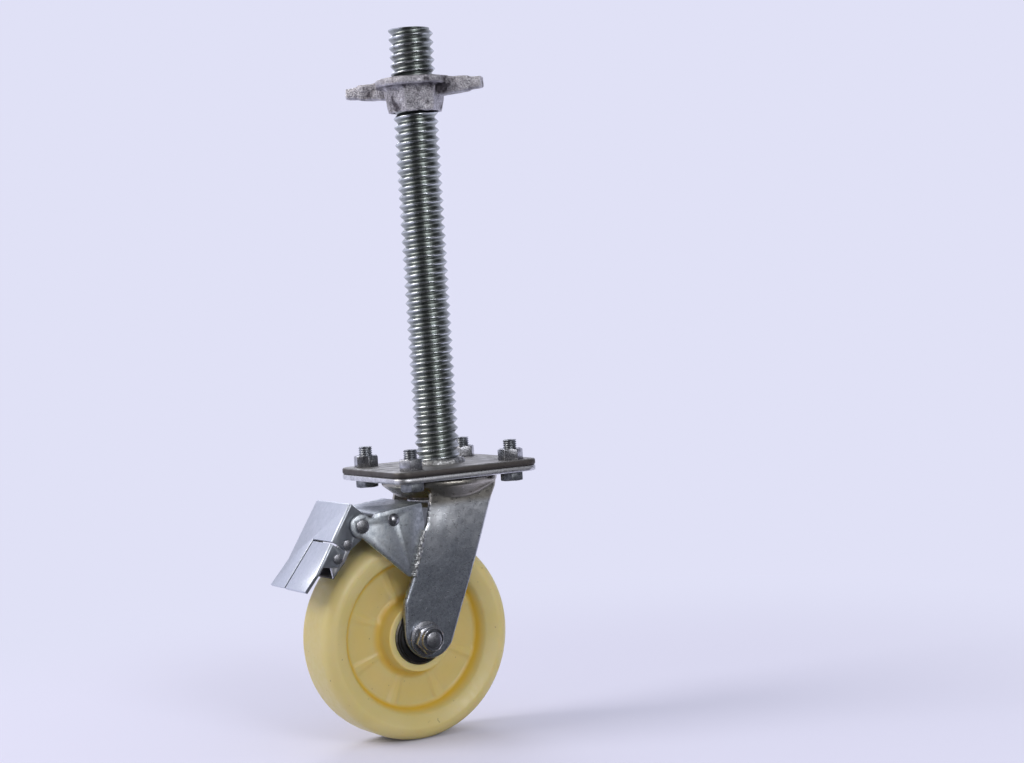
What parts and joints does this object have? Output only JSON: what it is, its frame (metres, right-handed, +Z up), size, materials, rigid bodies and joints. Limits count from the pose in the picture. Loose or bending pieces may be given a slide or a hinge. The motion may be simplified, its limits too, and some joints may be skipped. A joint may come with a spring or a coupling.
{
  "type": "levelling castor",
  "caption": "Swivel castor with a foot brake under a coarse threaded levelling spindle, whose lugged collar nut carries the leg of a scaffold.",
  "frame": {"origin": "on the spindle's axis, at the level of the collar nut's top face, where the scaffold's leg rests", "axes": "+Z up along the spindle, -X towards the trailing wheel and its brake pedal, Y along the axle"},
  "size_m": [0.1818, 0.098, 0.513],
  "materials": {
    "bright_zinc": "bright zinc on a rolled thread, with dirt in its roots",
    "dull_zinc": "matte warm grey zinc",
    "plate_zinc": "blue-grey zinc",
    "fork_zinc": "mottled dark slate zinc",
    "pale_zinc": "pale silver-blue zinc with bright edges",
    "fastener_zinc": "bright zinc",
    "weld_metal": "rippled weld under zinc",
    "race_steel": "oiled hardened steel",
    "rough_casting": "rough casting, warm grey",
    "cream_nylon": "translucent cream nylon, scuffed",
    "black_plastic": "black seal",
    "dark_insert": "dark locking insert",
    "black_rubber": "dark brake lining"
  },
  "bodies": {
    "jack": {"threaded_spindle": "bright_zinc", "spindle_weld": "weld_metal", "jack_plate": "dull_zinc", "castor_top_plate": "plate_zinc", "plate_bolts": "fastener_zinc", "plate_nuts": "fastener_zinc", "king_pin": "fastener_zinc", "king_pin_nut": "fastener_zinc", "upper_ball_race": "race_steel", "lower_ball_race": "race_steel", "lower_race_cup": "plate_zinc"},
    "collar": {"collar_nut": "rough_casting"},
    "swivel_fork": {"fork": "fork_zinc", "axle_spacer": "race_steel", "axle_washers": "fastener_zinc", "axle_bolt": "fastener_zinc", "axle_nut": "fastener_zinc", "axle_nut_insert": "dark_insert", "brake_housing": "plate_zinc", "housing_welds": "weld_metal", "pedal_pivot_pin": "fastener_zinc", "spring_rivet": "fastener_zinc", "brake_spring": "race_steel"},
    "rolling_wheel": {"wheel": "cream_nylon", "wheel_bearings": "race_steel", "dust_caps": "black_plastic"},
    "pedal": {"brake_pedal": "pale_zinc", "pedal_links": "plate_zinc", "link_rivets": "fastener_zinc", "release_pin": "fastener_zinc", "brake_shoe": "black_rubber", "pivot_bush": "race_steel"},
    "release": {"release_pedal": "pale_zinc"}
  },
  "joints": [
    {"name": "collar_travel", "type": "slide", "parent": "jack", "child": "collar", "axis": [0, 0, 1], "range_m": [-0.245, 0.03]},
    {"name": "swivel", "type": "hinge", "parent": "jack", "child": "swivel_fork", "pos_m": [0, 0, -0.29725], "axis": [0, 0, 1], "continuous": true},
    {"name": "wheel_spin", "type": "hinge", "parent": "swivel_fork", "child": "rolling_wheel", "pos_m": [-0.0355, 0, -0.40225], "axis": [0, 1, 0], "continuous": true},
    {"name": "brake_pedal_press", "type": "hinge", "parent": "swivel_fork", "child": "pedal", "pos_m": [-0.07999, 0, -0.31725], "axis": [0, -1, 0], "range_deg": [-25, 9.7]},
    {"name": "release_pedal_press", "type": "hinge", "parent": "pedal", "child": "release", "pos_m": [-0.09893, 0, -0.33831], "axis": [0, -1, 0], "range_deg": [0, 15]}
  ]
}
